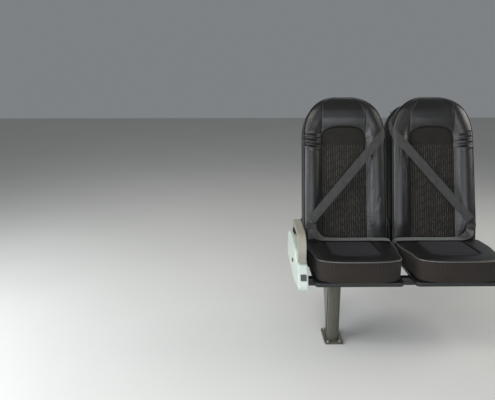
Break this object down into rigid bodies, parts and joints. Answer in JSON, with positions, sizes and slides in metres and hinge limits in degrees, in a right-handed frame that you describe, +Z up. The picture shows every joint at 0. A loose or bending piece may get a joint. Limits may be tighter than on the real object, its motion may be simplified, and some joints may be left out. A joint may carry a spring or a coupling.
{
  "type": "coach passenger double seat",
  "caption": "Reclining double coach seat with leather and plush backs, lap and shoulder belts, a folding aisle armrest, a pedestal leg and a wall bracket.",
  "frame": {"origin": "centre of the floor shoe's underside, under the pedestal leg", "axes": "+Z up; a passenger looks along -Y; the aisle is on -X and the window wall on +X"},
  "size_m": [1.0681, 0.749, 1.1702],
  "materials": {
    "leather": "smooth black, soft sheen",
    "plush": "dark woven plush with fine pale dashes",
    "webbing": "woven polyester webbing",
    "black_plastic": "fine moulded grain",
    "grey_steel": "grey powder coat",
    "bright_steel": "bright plated",
    "pale_plastic": "pale mint, satin moulded",
    "beige_plastic": "warm grey, fine moulded grain"
  },
  "bodies": {
    "seat_frame": {"aisle_cushion": "leather", "aisle_cushion_insert": "plush", "aisle_cushion_pan": "grey_steel", "aisle_lap_belt": "webbing", "aisle_buckle": "black_plastic", "aisle_tongue": "bright_steel", "window_cushion": "leather", "window_cushion_insert": "plush", "window_cushion_pan": "grey_steel", "window_lap_belt": "webbing", "window_buckle": "black_plastic", "window_tongue": "bright_steel", "front_beam": "grey_steel", "rear_beam": "grey_steel", "aisle_plate": "grey_steel", "wall_plate": "grey_steel", "centre_plate": "grey_steel", "wall_bracket": "grey_steel", "pedestal_leg": "grey_steel", "floor_shoe": "grey_steel", "aisle_cover": "pale_plastic", "blank_plate": "black_plastic", "recline_button": "black_plastic"},
    "aisle_back": {"aisle_back_leather": "leather", "aisle_back_insert": "plush", "aisle_back_frame": "grey_steel", "aisle_rear_shell": "black_plastic", "aisle_magazine_pocket": "black_plastic", "aisle_belt_guide": "black_plastic", "aisle_belt_retractor": "black_plastic", "aisle_belt_riser": "webbing", "aisle_shoulder_belt": "webbing"},
    "window_back": {"window_back_leather": "leather", "window_back_insert": "plush", "window_back_frame": "grey_steel", "window_rear_shell": "black_plastic", "window_magazine_pocket": "black_plastic", "window_belt_guide": "black_plastic", "window_belt_retractor": "black_plastic", "window_belt_riser": "webbing", "window_shoulder_belt": "webbing"},
    "armrest": {"armrest_pad": "beige_plastic", "armrest_core": "grey_steel"}
  },
  "joints": [
    {"name": "aisle_recline", "type": "hinge", "parent": "seat_frame", "child": "aisle_back", "pos_m": [0.095, 0.3016, 0.3779], "axis": [-1, 0, 0], "range_deg": [0, 16]},
    {"name": "window_recline", "type": "hinge", "parent": "seat_frame", "child": "window_back", "pos_m": [0.575, 0.3016, 0.3779], "axis": [-1, 0, 0], "range_deg": [0, 16]},
    {"name": "armrest_fold", "type": "hinge", "parent": "seat_frame", "child": "armrest", "pos_m": [-0.178, 0.165, 0.528], "axis": [-1, 0, 0], "range_deg": [0, 90]}
  ]
}
